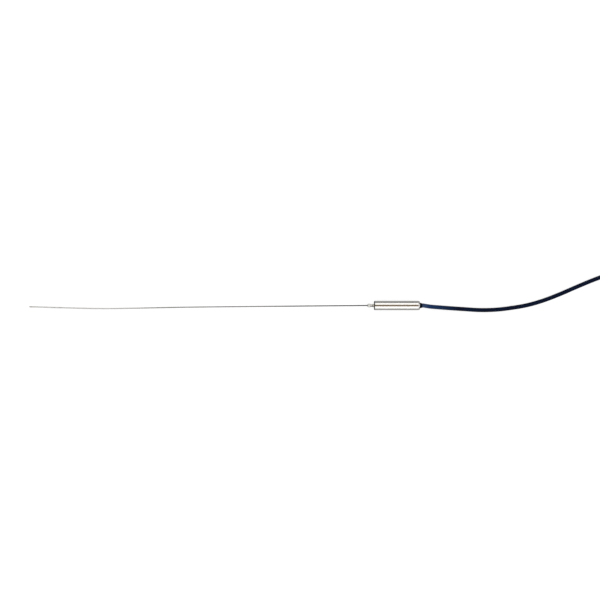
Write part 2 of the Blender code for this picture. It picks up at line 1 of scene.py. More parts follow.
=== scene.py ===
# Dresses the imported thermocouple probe: a thin bowed stem, a bright steel pot and a navy two-core lead.
# Everything is in metres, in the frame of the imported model. The stem points towards -X.

import math

import bpy
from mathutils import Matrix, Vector


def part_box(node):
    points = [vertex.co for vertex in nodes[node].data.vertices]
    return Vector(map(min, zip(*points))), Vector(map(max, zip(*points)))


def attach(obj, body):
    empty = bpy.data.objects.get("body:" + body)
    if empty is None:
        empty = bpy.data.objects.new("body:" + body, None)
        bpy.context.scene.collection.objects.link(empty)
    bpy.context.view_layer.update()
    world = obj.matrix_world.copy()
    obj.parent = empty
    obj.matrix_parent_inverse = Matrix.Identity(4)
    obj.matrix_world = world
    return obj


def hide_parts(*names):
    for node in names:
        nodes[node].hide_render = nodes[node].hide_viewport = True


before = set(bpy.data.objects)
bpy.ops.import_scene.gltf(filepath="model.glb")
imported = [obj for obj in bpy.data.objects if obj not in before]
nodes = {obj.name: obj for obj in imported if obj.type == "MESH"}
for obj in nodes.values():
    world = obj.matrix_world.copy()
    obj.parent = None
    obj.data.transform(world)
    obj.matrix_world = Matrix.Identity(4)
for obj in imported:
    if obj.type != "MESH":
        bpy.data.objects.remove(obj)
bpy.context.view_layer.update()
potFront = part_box("pot_sleeve")[0].x
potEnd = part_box("pot_sleeve")[1].x
potRadius = (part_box("pot_sleeve")[1].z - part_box("pot_sleeve")[0].z) / 2
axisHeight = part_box("pot_sleeve")[0].z + potRadius


# Shader sockets

class Socket:
    # One output of a shader node. A sum on it adds Math nodes, and node() adds any other kind.
    def __init__(self, tree, out=None):
        self.tree = tree
        self.out = out

    def node(self, kind, settings, values, out=0):
        made = self.tree.nodes.new(kind)
        for name, value in settings.items():
            if name == "stops":
                ramp = made.color_ramp
                while len(ramp.elements) < len(value):
                    ramp.elements.new(0.5)
                for stop, (place, colour) in zip(ramp.elements, value):
                    stop.position = place
                    stop.color = (*colour, 1)
            else:
                setattr(made, name, value)
        for name, value in values.items():
            plug = made.inputs[name]
            if isinstance(value, Socket):
                self.tree.links.new(value.out, plug)
            else:
                plug.default_value = value
        return Socket(self.tree, made.outputs[out])

    def maths(self, operation, first, second=0.0):
        return self.node("ShaderNodeMath", {"operation": operation}, {0: first, 1: second})

    def __add__(self, other):
        return self.maths("ADD", self, other)

    def __radd__(self, other):
        return self.maths("ADD", other, self)

    def __sub__(self, other):
        return self.maths("SUBTRACT", self, other)

    def __rsub__(self, other):
        return self.maths("SUBTRACT", other, self)

    def __mul__(self, other):
        return self.maths("MULTIPLY", self, other)

    def __rmul__(self, other):
        return self.maths("MULTIPLY", other, self)

    def wave(self, length):
        # -1 to 1 and back, once in each length
        return self.maths("SINE", self * (math.tau / length))

    def axis(self, name):
        return self.node("ShaderNodeSeparateXYZ", {}, {0: self}, name)

    def noise(self, scale, detail=3.0, rough=0.5):
        values = {"Vector": self, "Scale": scale, "Detail": detail, "Roughness": rough}
        return self.node("ShaderNodeTexNoise", {}, values)

    def stretched(self, x):
        # Places for a pattern that runs along X, longer the smaller x is
        return self.node("ShaderNodeMapping", {}, {"Vector": self, "Scale": (x, 1, 1)})

    def spread(self, low, high, toLow=0.0, toHigh=1.0):
        # low to high becomes toLow to toHigh, held at both ends
        values = {"Value": self, "From Min": low, "From Max": high, "To Min": toLow, "To Max": toHigh}
        return self.node("ShaderNodeMapRange", {"clamp": True}, values)

    def fading(self, start, full, gone):
        # 1 up to full past the start, and 0 from gone past it
        return self.spread(start + full, start + gone, 1.0, 0.0)

    def blend(self, first, second):
        # first where this is 0, second where it is 1
        ends = [c if isinstance(c, Socket) else (*c, 1) for c in (first, second)]
        settings = {"data_type": "RGBA", "clamp_factor": True}
        return self.node("ShaderNodeMix", settings, {0: self, 6: ends[0], 7: ends[1]}, 2)

    def bumped(self, depth):
        return self.node("ShaderNodeBump", {}, {"Height": self, "Distance": depth})


def newFinish(name, fixed):
    # A Principled material with its unchanging values set, and the place on the piece to paint from
    made = bpy.data.materials.new(name)
    made.use_nodes = True
    tree = made.node_tree
    shader = tree.nodes["Principled BSDF"]
    for socket, value in fixed.items():
        shader.inputs[socket].default_value = value
    return made, Socket(tree).node("ShaderNodeTexCoord", {}, {}, "Object")


def rayIs(tree, kind):
    # 1 for a ray of this kind and 0 for any other
    return Socket(tree).node("ShaderNodeLightPath", {}, {}, "Is " + kind + " Ray")


def paint(finish, **painted):
    shader = finish.node_tree.nodes["Principled BSDF"]
    plugs = {
        "colour": "Base Color",
        "roughness": "Roughness",
        "coat": "Coat Weight",
        "normal": "Normal",
    }
    for name, socket in painted.items():
        finish.node_tree.links.new(socket.out, shader.inputs[plugs[name]])
    return finish


# Finishes

potSteel = {
    "colour": (0.50, 0.495, 0.48),
    "shade": (0.42, 0.415, 0.40),
    "edge": (0.045, 0.043, 0.041),  # painted dark reflection on the rounded corner at the front face
    "darkReflectionStrength": 0.96,
    "cornerFrom": (0.0032, 0.0034),  # the painted dark reflection covers the corner outside this radius, and not the flat face
    "cornerTo": (0.00078, 0.00095),  # and to here behind the face
    "edgeTint": (0.24, 0.24, 0.24, 1),
    "roughness": 0.14,
    "smudgeScale": 130,
    "lineScale": 9000,
    "lineStretch": 0.012,
    "lineDepth": 0.0000011,
    "ringWidth": 0.00022,  # turning marks, on the face, beside it and before the rolled lip
    "ringsOnFace": 0.0002,
    "ringsBesideFace": (0.0007, 0.0015),
    "ringsBeforeLip": (0.0028, 0.0014),
}


def makePotSteel(s):
    finish, place = newFinish("polishedPotSteel", {"Metallic": 1.0, "Specular Tint": s["edgeTint"]})
    along = place.axis("X")
    across, up = place.axis("Y"), place.axis("Z") - axisHeight
    fromAxis = place.maths("SQRT", across * across + up * up)
    lines = place.stretched(s["lineStretch"]).noise(s["lineScale"], 2)
    smudge = place.noise(s["smudgeScale"], 5, 0.6).spread(0.35, 0.7)
    lipFrom, lipTo = s["ringsBeforeLip"]
    nearLip = along.spread(potEnd - lipFrom, potEnd - lipTo)
    nearFace = along.fading(potFront, *s["ringsBesideFace"])
    face = along.fading(potFront, 0, s["ringsOnFace"])
    worked = nearLip + nearFace
    rings = along.wave(s["ringWidth"]) * worked * 0.4
    height = lines * 0.6 + rings + fromAxis.wave(s["ringWidth"]) * face
    polished = (lines * 0.35 + smudge * 0.25).blend(s["colour"], s["shade"])
    # Painted dark reflection: the rounded front corner darkened towards the edge colour
    corner = along.fading(potFront, *s["cornerTo"]) * fromAxis.spread(*s["cornerFrom"])
    colour = (corner * s["darkReflectionStrength"]).blend(polished, s["edge"])
    roughness = smudge * 0.03 + lines * 0.04 + worked * 0.06 + s["roughness"]
    return paint(finish, colour=colour, roughness=roughness, normal=height.bumped(s["lineDepth"]))


ferruleSteel = {
    "colour": (0.60, 0.60, 0.575),
    "dull": (0.42, 0.43, 0.40),
    "crimpShade": (0.06, 0.06, 0.052),  # painted shade in the crimp, on its lower (-Y) side
    "roughness": 0.36,
    "grain": 5200,
    "grainDepth": 0.000006,
    "patchScale": 700,
    "crimpShadeStrength": 0.9,
    "crimpShadeAlong": ((-0.0034, -0.0028), (-0.0006, 0)),  # where it comes and goes, from the pot's face
    "crimpShadeAcross": ((-0.0002, -0.0004), (-0.0013, -0.0010)),
}


def makeFerruleSteel(s):
    finish, place = newFinish("ferruleSteel", {"Metallic": 1.0})
    grain = place.noise(s["grain"], 4)
    patch = place.noise(s["patchScale"], 3).spread(0.35, 0.68)
    clean = (patch * 0.7 + grain * 0.3).blend(s["colour"], s["dull"])
    along, across = place.axis("X"), place.axis("Y")
    # Painted shade: the crimp darkened on its -Y side
    comes, goes = s["crimpShadeAlong"]
    inCrimp = along.spread(potFront + comes[0], potFront + comes[1]) * along.fading(potFront, *goes)
    nearAxis, farSide = s["crimpShadeAcross"]
    below = across.spread(*nearAxis) * across.spread(*farSide)
    colour = (inCrimp * below * s["crimpShadeStrength"]).blend(clean, s["crimpShade"])
    roughness = patch * 0.14 + grain * 0.08 + s["roughness"]
    return paint(finish, colour=colour, roughness=roughness, normal=grain.bumped(s["grainDepth"]))


sheathSteel = {
    "tipColour": (0.485, 0.485, 0.482),
    "middleColour": (0.205, 0.205, 0.202),
    "potColour": (0.044, 0.044, 0.043),
    "oxide": (0.17, 0.169, 0.165),
    "straw": (0.46, 0.37, 0.24),
    "heatBlue": (0.20, 0.22, 0.30),
    "roughness": 0.34,
    "lineScale": 14000,
    "lineStretch": 0.006,
    "lineDepth": 0.0000025,
    "filmScale": 900,
    "filmStretch": 0.12,
    "middleFrom": (0.07, 0.12),  # from the tip
    "potFrom": (-0.10, -0.07),  # from the pot's face
    "heatLength": 0.0065,
    "weld": (0.0006, 0.0022),
}


def makeSheathSteel(s):
    # Drawn steel: lengthwise die lines, mottled annealing film, and a heat tint behind the welded tip
    finish, place = newFinish("drawnSheathSteel", {"Metallic": 1.0})
    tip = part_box("sheath")[0].x
    along = place.axis("X")
    lines = place.stretched(s["lineStretch"]).noise(s["lineScale"], 3)
    film = place.stretched(s["filmStretch"]).noise(s["filmScale"], 4).spread(0.3, 0.7)
    middleFrom, middleFull = s["middleFrom"]
    potFrom, potFull = s["potFrom"]
    outer = along.spread(tip + middleFrom, tip + middleFull).blend(s["tipColour"], s["middleColour"])
    base = along.spread(potFront + potFrom, potFront + potFull).blend(outer, s["potColour"])
    mottled = (film * 0.3).blend(base, s["oxide"])
    tinted = (along.fading(tip, 0, s["heatLength"]) * 0.55).blend(mottled, s["straw"])
    colour = (along.fading(tip, *s["weld"]) * 0.5).blend(tinted, s["heatBlue"])
    roughness = lines * 0.10 + film * 0.08 + s["roughness"]
    return paint(finish, colour=colour, roughness=roughness, normal=lines.bumped(s["lineDepth"]))


jacketPlastic = {
    "colour": (0.0010, 0.0057, 0.0215),
    "dark": (0.0004, 0.0026, 0.0122),
    "stretched": (0.0050, 0.0230, 0.078),  # painted highlight, paler where the jacket bends out of the bush
    "dust": (0.022, 0.032, 0.056),
    "roughness": 0.36,
    "sheen": 0.055,
    "bendSheen": 0.07,
    "bend": (0.004, 0.034),  # how far past the pot's end it bends
    "rubbedSheen": 0.45,  # glossier beside the bush, where it is gripped
    "rubbed": (0.0015, 0.0080),
    "patchScale": 90,
    "dustScale": 1700,
    "dustStrength": 0.16,
    "grain": 5200,
    "grainDepth": 0.000010,
}


def makeJacket(s):
    finish, place = newFinish("navyJacket", {"Specular IOR Level": 0.012, "Coat Roughness": 0.42})
    grain = place.noise(s["grain"], 4)
    patch = place.noise(s["patchScale"], 4).spread(0.35, 0.65)
    dust = place.noise(s["dustScale"], 5, 0.7).spread(0.62, 0.78)
    along = place.axis("X")
    bend = along.fading(potEnd, *s["bend"])
    # Painted highlight: a paler blue along the bend just past the bush
    plain = bend.blend(patch.blend(s["colour"], s["dark"]), s["stretched"])
    colour = (dust * s["dustStrength"]).blend(plain, s["dust"])
    roughness = grain * 0.12 + patch * 0.06 + dust * 0.1 + s["roughness"]
    coat = along.fading(potEnd, *s["rubbed"]) * s["rubbedSheen"] + bend * s["bendSheen"] + s["sheen"]
    normal = grain.bumped(s["grainDepth"])
    return paint(finish, colour=colour, roughness=roughness, coat=coat, normal=normal)


bushRubber = {
    "colour": (0.0012, 0.0014, 0.0032),
    "worn": (0.008, 0.008, 0.010),
    "roughness": 0.6,
    "wornScale": 1500,
    "wornStrength": 0.35,
    "grain": 6500,
    "grainDepth": 0.000014,
}


def makeRubber(s):
    finish, place = newFinish("blackBushRubber", {"Specular IOR Level": 0.008})
    grain = place.noise(s["grain"], 4)
    worn = place.noise(s["wornScale"], 4).spread(0.52, 0.75)
    colour = (worn * s["wornStrength"]).blend(s["colour"], s["worn"])
    roughness = grain * 0.2 + s["roughness"]
    return paint(finish, colour=colour, roughness=roughness, normal=grain.bumped(s["grainDepth"]))


plainFinishes = {
    "redCoreInsulation": {
        "colour": (0.50, 0.014, 0.012), "other": (0.38, 0.010, 0.009), "roughness": 0.28,
        "metal": 0.0, "scale": 1400, "depth": 0.000004,
    },
    "whiteCoreInsulation": {
        "colour": (0.74, 0.73, 0.69), "other": (0.64, 0.62, 0.56), "roughness": 0.30,
        "metal": 0.0, "scale": 1400, "depth": 0.000004,
    },
    "positiveAlloy": {
        "colour": (0.52, 0.50, 0.47), "other": (0.38, 0.36, 0.33), "roughness": 0.26,
        "metal": 1.0, "scale": 2600, "depth": 0.000004,
    },
    "negativeAlloy": {
        "colour": (0.60, 0.57, 0.52), "other": (0.46, 0.43, 0.38), "roughness": 0.26,
        "metal": 1.0, "scale": 2600, "depth": 0.000004,
    },
    "crimpNickel": {
        "colour": (0.62, 0.60, 0.54), "other": (0.48, 0.46, 0.40), "roughness": 0.28,
        "metal": 1.0, "scale": 1800, "depth": 0.000004,
    },
    "packedMineral": {
        "colour": (0.84, 0.83, 0.79), "other": (0.68, 0.67, 0.63), "roughness": 0.80,
        "metal": 0.0, "scale": 6000, "depth": 0.00002,
    },
    "pottingResin": {
        "colour": (0.10, 0.09, 0.08), "other": (0.06, 0.05, 0.045), "roughness": 0.35,
        "metal": 0.0, "scale": 700, "depth": 0.000004,
    },
    "sealResin": {
        "colour": (0.55, 0.36, 0.12), "other": (0.40, 0.24, 0.07), "roughness": 0.25,
        "metal": 0.0, "scale": 1100, "depth": 0.000004,
    },
    "clearSleeve": {
        "colour": (0.82, 0.80, 0.74), "other": (0.72, 0.70, 0.62), "roughness": 0.22,
        "metal": 0.0, "scale": 900, "depth": 0.000004,
    },
}


def makePlain(name, s):
    # A finish with soft mottling between two colours and a fine grain
    finish, place = newFinish(name, {"Metallic": s["metal"]})
    mottle = place.noise(s["scale"], 4)
    fine = place.noise(s["scale"] * 5, 3)
    colour = mottle.spread(0.3, 0.7).blend(s["colour"], s["other"])
    roughness = fine * 0.12 + mottle * 0.08 + s["roughness"]
    return paint(finish, colour=colour, roughness=roughness, normal=fine.bumped(s["depth"]))


print("finishes")
potFinish = makePotSteel(potSteel)
ferruleFinish = makeFerruleSteel(ferruleSteel)
sheathFinish = makeSheathSteel(sheathSteel)
jacketFinish = makeJacket(jacketPlastic)
rubberFinish = makeRubber(bushRubber)
plain = {name: makePlain(name, settings) for name, settings in plainFinishes.items()}


# Modelling helpers

weldDistance = 0.0000005
sameSize = 0.000001


def startAlone():
    if bpy.context.object and bpy.context.object.mode != "OBJECT":
        bpy.ops.object.mode_set(mode="OBJECT")
    bpy.ops.object.select_all(action="DESELECT")


def smoothThrough(points, step):
    # Points about a step apart on a smooth curve through the given ones
    places = [Vector(point) for point in points]
    ends = [2 * places[0] - places[1], *places, 2 * places[-1] - places[-2]]
    found = [places[0]]
    for before, here, there, after in zip(ends, ends[1:], ends[2:], ends[3:]):
        span = (there - here).length
        leave = (there - before) * span / (span + (here - before).length)
        arrive = (after - here) * span / ((after - there).length + span)
        count = max(1, round(span / step))
        for i in range(1, count + 1):
            t = i / count
            toHere = here * (2 * t**3 - 3 * t**2 + 1) + leave * (t**3 - 2 * t**2 + t)
            toThere = there * (3 * t**2 - 2 * t**3) + arrive * (t**3 - t**2)
            found.append(toHere + toThere)
    return found


def arcRings(centreX, centreR, radius, start, end, steps):
    # Rings (x, r) round an arc. 0 degrees points away from the axis and 90 towards +X.
    turns = [math.radians(start + (end - start) * i / steps) for i in range(steps + 1)]
    return [(centreX + radius * math.sin(turn), centreR + radius * math.cos(turn)) for turn in turns]


def pullRings(name, rings, sides, closed):
    # A circle pulled from ring to ring, each (x, y, z, radius). A closed run ends on its first ring.
    startAlone()
    x, y, z, radius = rings[0]
    turn = (0, math.pi / 2, 0)
    bpy.ops.mesh.primitive_circle_add(vertices=sides, radius=radius, location=(x, y, z), rotation=turn)
    piece = bpy.context.object
    piece.name = name
    bpy.ops.object.mode_set(mode="EDIT")
    bpy.ops.mesh.select_all(action="SELECT")
    for here, there in zip(rings, rings[1:]):
        step = [b - a for a, b in zip(here[:3], there[:3])]
        bpy.ops.mesh.extrude_region_move(TRANSFORM_OT_translate={"value": step})
        grow = there[3] / here[3]
        if abs(grow - 1) > sameSize:
            bpy.ops.transform.resize(value=(1, grow, grow), center_override=there[:3])
    if not closed:
        bpy.ops.mesh.edge_face_add()
    bpy.ops.mesh.select_all(action="SELECT")
    bpy.ops.mesh.remove_doubles(threshold=weldDistance)
    if not closed:
        bpy.ops.mesh.select_all(action="DESELECT")
        bpy.ops.mesh.select_non_manifold(extend=False)
        if piece.data.total_edge_sel:
            bpy.ops.mesh.edge_face_add()
        bpy.ops.mesh.select_all(action="SELECT")
    bpy.ops.mesh.normals_make_consistent(inside=False)
    bpy.ops.object.mode_set(mode="OBJECT")
    bpy.ops.object.transform_apply(location=True, rotation=True, scale=True)
    return piece


def pullOnAxis(name, rings, sides, closed=True):
    return pullRings(name, [(x, 0, axisHeight, r) for x, r in rings], sides, closed)


def dress(piece, finish, slot, smoothAngle, *replaced):
    startAlone()
    piece.select_set(True)
    bpy.context.view_layer.objects.active = piece
    bpy.ops.object.shade_smooth_by_angle(angle=math.radians(smoothAngle))
    piece.data.materials.clear()
    piece.data.materials.append(finish)
    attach(piece, "root")
    if replaced:
        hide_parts(*replaced)
    return piece


def tubeAlong(name, paths, radius, sides):
    # One round tube along each path, made as a curve and turned into a mesh
    curve = bpy.data.curves.new(name, "CURVE")
    curve.dimensions = "3D"
    curve.twist_mode = "Z_UP"
    curve.bevel_depth = radius
    curve.bevel_resolution = (sides - 4) // 2  # a resolution of n gives 2n + 4 sides
    curve.use_fill_caps = True
    for path in paths:
        spline = curve.splines.new("POLY")
        spline.points.add(len(path) - 1)
        for point, place in zip(spline.points, path):
            point.co = (*place, 1)
    piece = bpy.data.objects.new(name, curve)
    bpy.context.scene.collection.objects.link(piece)
    startAlone()
    piece.select_set(True)
    bpy.context.view_layer.objects.active = piece
    bpy.ops.object.convert(target="MESH")
    piece = bpy.context.object
    bpy.ops.object.mode_set(mode="EDIT")
    bpy.ops.mesh.select_all(action="SELECT")
    bpy.ops.mesh.remove_doubles(threshold=weldDistance)
    bpy.ops.mesh.normals_make_consistent(inside=False)
    bpy.ops.object.mode_set(mode="OBJECT")
    return piece


# Camera: straight above the table, with the photograph's framing

camera = {
    "photoSide": 600,
    "metresPerPixel": 0.0008696,
    "facePixel": 374,  # the pot's front face
    "axisRow": 305.5,
    "distance": 3.0,
    "clip": (0.1, 50),
}


def makeCamera(s):
    middle = s["photoSide"] / 2
    aimX = potFront - (s["facePixel"] - middle) * s["metresPerPixel"]
    aimY = (s["axisRow"] - middle) * s["metresPerPixel"]
    bpy.ops.object.camera_add(location=(aimX, aimY, axisHeight + s["distance"]), rotation=(0, 0, 0))
    made = bpy.context.object
    made.name = "photoCamera"
    wide = s["photoSide"] * s["metresPerPixel"]
    made.data.lens = made.data.sensor_width * s["distance"] / wide
    made.data.clip_start, made.data.clip_end = s["clip"]
    bpy.context.scene.camera = made


print("camera")
startAlone()
makeCamera(camera)


# Lead: one jacketed cable, its coil put away past the photograph's right edge

lead = {
    "diameter": 0.0036,
    "inPot": 0.027,  # the jacket starts in the resin, this far behind the pot's front face
    "heldFrom": 0.034,
    "bushEnd": 0.0419,
    "straight": 0.001,
    "route": [
        (0.048, -0.00085, 0.00385),
        (0.057, -0.00165, 0.00310),
        (0.067, -0.0024, 0.00225),
        (0.079, -0.0032, 0.00185),
        (0.092, -0.00397, 0.00181),
        (0.106, -0.00365, 0.00181),
        (0.120, -0.00205, 0.00181),
        (0.134, 0.00045, 0.00181),
        (0.148, 0.00455, 0.00181),
        (0.162, 0.00995, 0.00181),
        (0.176, 0.016, 0.00181),
        (0.190, 0.02185, 0.00181),
        (0.206, 0.0278, 0.00181),
        (0.2234, 0.0342, 0.00181),
    ],
    "coilCentre": (0.232, 0.0105),
    "coilOuter": 0.0252,  # from the coil's centre to the middle of its outer turn
    "coilInner": 0.0144,
    "coilStart": 110,
    "coilTurn": 2180,  # degrees, clockwise from above, in two layers
    "turnStep": 10,
    "climb": 80,
    "lift": 0.00001,
    "tail": [
        (0.232, 0.0357, 0.00540),
        (0.241, 0.0360, 0.00515),
        (0.251, 0.0352, 0.00395),
        (0.261, 0.0324, 0.00245),
        (0.2695, 0.0276, 0.00185),
        (0.2755, 0.0215, 0.00181),
    ],
    "step": 0.0022,
    "sides": 24,
}


def coilPlaces(s):
    # In along the lower layer, up at the middle, and out again on top
    layer = (s["coilTurn"] - s["climb"]) / 2
    low = s["diameter"] / 2 + s["lift"]
    places = []
    for turn in range(s["turnStep"], s["coilTurn"], s["turnStep"]):
        inwards = min(1, turn / layer)
        outwards = max(0, (turn - layer - s["climb"]) / layer)
        radius = s["coilOuter"] - (s["coilOuter"] - s["coilInner"]) * (inwards - outwards)
        up = min(1, max(0, (turn - layer) / s["climb"]))
        height = low + (s["tail"][0][2] - low) * up
        angle = math.radians(s["coilStart"] - turn)
        x, y = s["coilCentre"]
        places.append((x + radius * math.cos(angle), y + radius * math.sin(angle), height))
    return places


def leadPath(s):
    straight = (s["inPot"], s["heldFrom"], s["bushEnd"], s["bushEnd"] + s["straight"])
    onAxis = [(x, 0, axisHeight) for x in straight]
    places = [*onAxis, *s["route"], *coilPlaces(s), *s["tail"]]
    path = smoothThrough([(potFront + x, y, z) for x, y, z in places], s["step"])
    for place in path:
        place.z = max(place.z, s["diameter"] / 2)  # on the table, never in it
    return path


def makeLead(s):
    path = leadPath(s)
    jacket = tubeAlong("lead_jacket", [path], s["diameter"] / 2, s["sides"])
    dress(jacket, jacketFinish, "blue_jacket", 50, "cable_lead", "cable_coil", "cable_tail")
    return jacket, path


tails = {
    "length": 0.032,
    "strip": 0.007,
    "spread": 0.005,
    "coreRadius": 0.0006,
    "coreSides": 20,
    "coreOffset": 0.00066,
    "gap": 0.0003,
    "downBy": 0.5,  # the share of their length in which the cores reach the table
    "steps": 24,
    "strands": 6,  # round a middle one
    "strandRadius": 0.0001,
    "strandSides": 8,
    "strandSpace": 0.0002,
    "strandSteps": 20,
    "lay": 0.0052,  # length in which the strands turn once
    "flare": 0.5,
    "flareFrom": 0.7,
    "intoCore": 0.001,
    "intoJacket": 0.0015,
}


def eased(share):
    return share * share * (3 - 2 * share)


def tailPath(s, leadEnd, ahead, side):
    across = Vector((-ahead.y, ahead.x, 0))
    path = [leadEnd - ahead * s["intoJacket"] + across * side * s["coreOffset"]]
    height = lead["diameter"] / 2
    drop = height - s["coreRadius"]
    for i in range(s["steps"] + 1):
        share = i / s["steps"]
        offset = s["coreOffset"] + (s["spread"] - s["coreOffset"]) * eased(share)
        place = leadEnd + ahead * (s["gap"] + s["length"] * share) + across * side * offset
        place.z = height - drop * eased(min(1, share / s["downBy"]))
        path.append(place)
    return path


def twisted(s, path):
    # The bare strands over the stripped end, a little apart at their tips
    ahead = (path[-1] - path[-2]).normalized()
    across = Vector((-ahead.y, ahead.x, 0)).normalized()
    up = ahead.cross(across)
    shares = [i / s["strandSteps"] for i in range(s["strandSteps"] + 1)]
    runs = [[path[-1] + ahead * (s["strip"] * share - s["intoCore"]) for share in shares]]
    for strand in range(s["strands"]):
        run = []
        for share in shares:
            along = s["strip"] * share
            turn = math.tau * (strand / s["strands"] + along / s["lay"])
            out = s["strandSpace"] * (1 + s["flare"] * max(0, share - s["flareFrom"]))
            side = across * math.cos(turn) + up * math.sin(turn)
            run.append(path[-1] + ahead * (along - s["intoCore"]) + side * out)
        runs.append(run)
    return runs


def makeTails(s, path):
    ahead = path[-1] - path[-2]
    ahead.z = 0
    ahead.normalize()
    made = []
    for name, side, finish, alloy, slot in (
        ("positive", 1, plain["redCoreInsulation"], plain["positiveAlloy"], "red_core"),
        ("negative", -1, plain["whiteCoreInsulation"], plain["negativeAlloy"], "white_core"),
    ):
        corePath = tailPath(s, path[-1], ahead, side)
        core = tubeAlong("tail_insulation_" + name, [corePath], s["coreRadius"], s["coreSides"])
        made.append(dress(core, finish, slot, 50, "tail_core_" + name))
        strandPaths = twisted(s, corePath)
        strands = tubeAlong("tail_wires_" + name, strandPaths, s["strandRadius"], s["strandSides"])
        made.append(dress(strands, alloy, name + "_alloy", 60, "tail_strands_" + name))
    return made


print("lead")
jacket, jacketPath = makeLead(lead)
tailPieces = makeTails(tails, jacketPath)
leadLength = sum((b - a).length for a, b in zip(jacketPath, jacketPath[1:]))
print("lead length", round(leadLength, 4))


# Pot

pot = {
    "wall": 0.0005,
    "frontWall": 0.0015,
    "frontRound": 0.0008,
    "neckHole": 0.0014,
    "lipBore": 0.00245,
    "lipSteps": 18,
    "frontSteps": 12,
    "sides": 128,
}


def makePot(s):
    lipRound = potRadius - s["lipBore"]
    lipStart = potEnd - lipRound
    corner = s["frontRound"]
    rings = arcRings(lipStart, s["lipBore"], lipRound, 90, 0, s["lipSteps"])
    rings += arcRings(potFront + corner, potRadius - corner, corner, 0, -90, s["frontSteps"])
    rings += [(potFront, s["neckHole"]), (potFront + s["frontWall"], s["neckHole"])]
    rings += [(potFront + s["frontWall"], potRadius - s["wall"])]
    rings += arcRings(lipStart, s["lipBore"], lipRound - s["wall"], 0, 90, s["lipSteps"])
    rings.append(rings[0])
    made = pullOnAxis("pot_shell", rings, s["sides"])
    return dress(made, potFinish, "pot_steel", 30, "pot_sleeve")


ferrule = {
    "out": 0.0058,
    "noseRadius": 0.00155,
    "noseLength": 0.0026,
    "noseRound": 0.0009,
    "bodyRadius": 0.00135,
    "crimpDepth": 0.00022,
    "crimpLength": 0.0022,
    "flangeRadius": 0.0024,
    "flangeFront": 0.00155,
    "flangeBack": 0.00275,
    "bore": 0.00055,
    "crimpSteps": 24,
    "shoulderFrom": 75,
    "shoulderSteps": 5,
    "noseSteps": 12,
    "sides": 96,
}


def makeFerrule(s):
    nose = potFront - s["out"]
    noseBack = nose + s["noseLength"]
    flangeFront, flangeBack = potFront + s["flangeFront"], potFront + s["flangeBack"]
    rings = [(flangeBack, s["flangeRadius"]), (flangeFront, s["flangeRadius"])]
    rings.append((flangeFront, s["bodyRadius"]))
    for i in range(s["crimpSteps"] + 1):
        share = i / s["crimpSteps"]
        pinch = s["crimpDepth"] * math.sin(math.pi * share) ** 2
        rings.append((noseBack + s["crimpLength"] * (1 - share), s["bodyRadius"] - pinch))
    shoulder = s["noseRadius"] - s["bodyRadius"]
    turn, steps = s["shoulderFrom"], s["shoulderSteps"]
    rings += arcRings(noseBack - shoulder, s["bodyRadius"], shoulder, turn, 0, steps)
    rounded = s["noseRound"]
    rings += arcRings(nose + rounded, s["noseRadius"] - rounded, rounded, 0, -90, s["noseSteps"])
    rings += [(nose, s["bore"]), (flangeBack, s["bore"])]
    rings.append(rings[0])
    made = pullOnAxis("ferrule", rings, s["sides"])
    return dress(made, ferruleFinish, "ferrule_steel", 30, "neck_ferrule")


bush = {
    "front": 0.034,
    "end": 0.0419,
    "endRadius": 0.002,
    "collar": 0.0024,
    "bore": 0.00185,
    "edgeRound": 0.00012,
    "edgeUntil": 10,
    "edgeSteps": 5,
    "wallGap": 0.00055,  # from the pot's outside to the bush's shoulder
    "shoulderSteps": 14,
    "sides": 96,
}


def makeBush(s):
    lipRound = potRadius - pot["lipBore"]
    front, end = potFront + s["front"], potFront + s["end"]
    edge, until = s["edgeRound"], s["edgeUntil"]
    rings = arcRings(end - edge, s["endRadius"] - edge, edge, 90, until, s["edgeSteps"])
    rings.append((potEnd, s["collar"]))
    inLip = lipRound - s["wallGap"]
    shoulder = arcRings(potEnd - lipRound, pot["lipBore"], inLip, 90, 0, s["shoulderSteps"])
    rings += [(shoulder[0][0], s["collar"]), *shoulder]
    rings += [(front, potRadius - s["wallGap"]), (front, s["bore"]), (end, s["bore"])]
    rings.append(rings[0])
    made = pullOnAxis("rubber_bush", rings, s["sides"])
    return dress(made, rubberFinish, "black_rubber", 30, "cable_bush")


print("pot, ferrule and bush")
makePot(pot)
makeFerrule(ferrule)
makeBush(bush)


# Stem

stem = {
    "length": 0.300,
    "radius": 0.0005,
    "bore": 0.00035,
    "plug": 0.0009,
    "inPot": 0.009,
    "bow": [
        (0.06, -0.00015),
        (0.22, -0.00055),
        (0.40, -0.00105),
        (0.54, -0.00150),
        (0.68, -0.00230),
        (0.78, -0.00272),
        (0.90, -0.00200),
        (1.00, -0.00110),
    ],
    "step": 0.004,
    "ringGap": 0.0003,  # the least room between the last ring of a run and its end
    "domeSteps": 8,
    "sides": 32,
}


def stemLine(s):
    # From the cold end in the pot to the tip: bowed sideways, and drooping until the tip is on the table
    free = s["length"] - ferrule["out"]
    drop = axisHeight - s["radius"]
    places = [(s["inPot"], 0, 0), (0, 0, 0), (-ferrule["out"], 0, 0)]
    for share, aside in s["bow"]:
        droop = -drop * (3 * share**2 - share**3) / 2
        places.append((-ferrule["out"] - share * free, aside, droop))
    return smoothThrough([(potFront + x, y, axisHeight + z) for x, y, z in places], s["step"])


